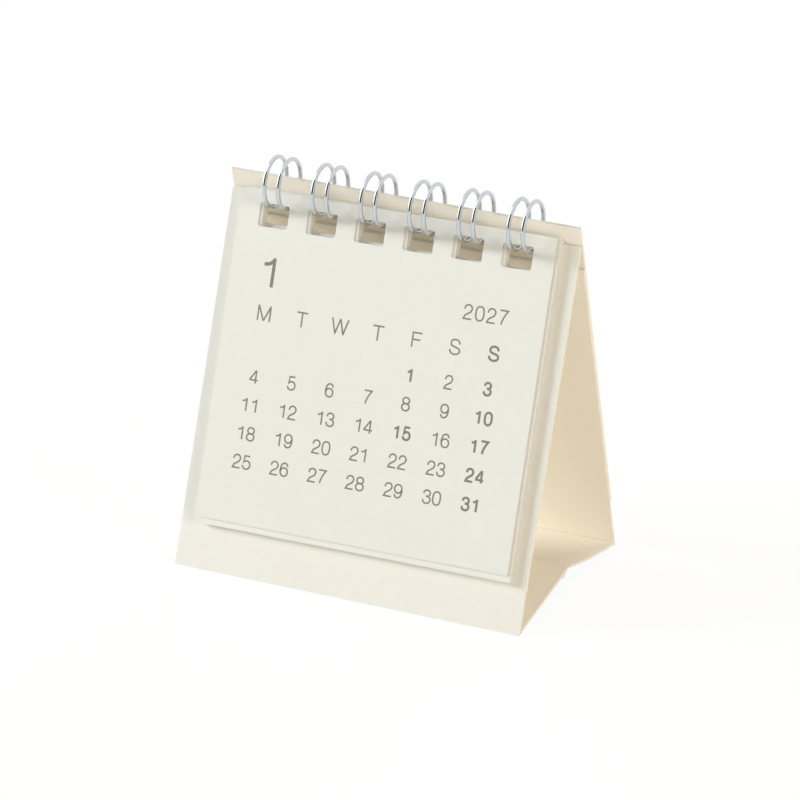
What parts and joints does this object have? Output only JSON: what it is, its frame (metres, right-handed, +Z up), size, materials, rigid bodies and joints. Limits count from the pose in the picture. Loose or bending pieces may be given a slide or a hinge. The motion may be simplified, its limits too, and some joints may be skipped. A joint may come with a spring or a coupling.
{
  "type": "desk calendar",
  "caption": "Small desk calendar: month sheets on twin-loop wire, bound at the top of a folding card easel with a creased base.",
  "frame": {"origin": "on the table, in the middle of the base", "axes": "+Z up, X along the width, the printed side faces -Y"},
  "size_m": [0.0606, 0.0392, 0.0648],
  "materials": {
    "card": "matt cream card, cut and creased",
    "paper": "uncoated off-white paper",
    "wire": "bright silver wire"
  },
  "bodies": {
    "front_stand": {"front_panel": "card", "binding_wire": "wire"},
    "back_stand": {"back_panel": "card", "rear_strip": "card"},
    "front_flap": {"front_base_flap": "card", "glue_lip": "card"},
    "back_flap": {"back_base_flap": "card"},
    "december_sheet": {"page_december": "paper"},
    "november_sheet": {"page_november": "paper"},
    "october_sheet": {"page_october": "paper"},
    "september_sheet": {"page_september": "paper"},
    "august_sheet": {"page_august": "paper"},
    "july_sheet": {"page_july": "paper"},
    "june_sheet": {"page_june": "paper"},
    "may_sheet": {"page_may": "paper"},
    "april_sheet": {"page_april": "paper"},
    "march_sheet": {"page_march": "paper"},
    "february_sheet": {"page_february": "paper"},
    "january_sheet": {"page_january": "paper"}
  },
  "joints": [
    {"name": "stand_fold", "type": "hinge", "parent": "front_stand", "child": "back_stand", "pos_m": [0, 0.00153, 0.05799], "axis": [1, 0, 0], "range_deg": [-14, 0]},
    {"name": "front_flap_crease", "type": "hinge", "parent": "front_stand", "child": "front_flap", "pos_m": [0, -0.01893, 0.00055], "axis": [-1, 0, 0], "range_deg": [-35.5, 0]},
    {"name": "back_flap_crease", "type": "hinge", "parent": "back_stand", "child": "back_flap", "pos_m": [0, 0.01896, 0.00055], "axis": [1, 0, 0], "range_deg": [-33.7, 0]},
    {"name": "december_turn", "type": "hinge", "parent": "front_stand", "child": "december_sheet", "pos_m": [0, 0.00042, 0.0604], "axis": [-1, 0, 0], "range_deg": [0, 270]},
    {"name": "november_turn", "type": "hinge", "parent": "december_sheet", "child": "november_sheet", "pos_m": [0, 0.00042, 0.0604], "axis": [-1, 0, 0], "range_deg": [0, 270]},
    {"name": "october_turn", "type": "hinge", "parent": "november_sheet", "child": "october_sheet", "pos_m": [0, 0.00042, 0.0604], "axis": [-1, 0, 0], "range_deg": [0, 270]},
    {"name": "september_turn", "type": "hinge", "parent": "october_sheet", "child": "september_sheet", "pos_m": [0, 0.00042, 0.0604], "axis": [-1, 0, 0], "range_deg": [0, 270]},
    {"name": "august_turn", "type": "hinge", "parent": "september_sheet", "child": "august_sheet", "pos_m": [0, 0.00042, 0.0604], "axis": [-1, 0, 0], "range_deg": [0, 270]},
    {"name": "july_turn", "type": "hinge", "parent": "august_sheet", "child": "july_sheet", "pos_m": [0, 0.00042, 0.0604], "axis": [-1, 0, 0], "range_deg": [0, 270]},
    {"name": "june_turn", "type": "hinge", "parent": "july_sheet", "child": "june_sheet", "pos_m": [0, 0.00042, 0.0604], "axis": [-1, 0, 0], "range_deg": [0, 270]},
    {"name": "may_turn", "type": "hinge", "parent": "june_sheet", "child": "may_sheet", "pos_m": [0, 0.00042, 0.0604], "axis": [-1, 0, 0], "range_deg": [0, 270]},
    {"name": "april_turn", "type": "hinge", "parent": "may_sheet", "child": "april_sheet", "pos_m": [0, 0.00042, 0.0604], "axis": [-1, 0, 0], "range_deg": [0, 270]},
    {"name": "march_turn", "type": "hinge", "parent": "april_sheet", "child": "march_sheet", "pos_m": [0, 0.00042, 0.0604], "axis": [-1, 0, 0], "range_deg": [0, 270]},
    {"name": "february_turn", "type": "hinge", "parent": "march_sheet", "child": "february_sheet", "pos_m": [0, 0.00042, 0.0604], "axis": [-1, 0, 0], "range_deg": [0, 270]},
    {"name": "january_turn", "type": "hinge", "parent": "february_sheet", "child": "january_sheet", "pos_m": [0, 0.00042, 0.0604], "axis": [-1, 0, 0], "range_deg": [0, 270]}
  ],
  "couplings": [
    {"joint": "front_flap_crease", "follows": "stand_fold", "ratio": 2.5357},
    {"joint": "back_flap_crease", "follows": "stand_fold", "ratio": 2.4071}
  ]
}
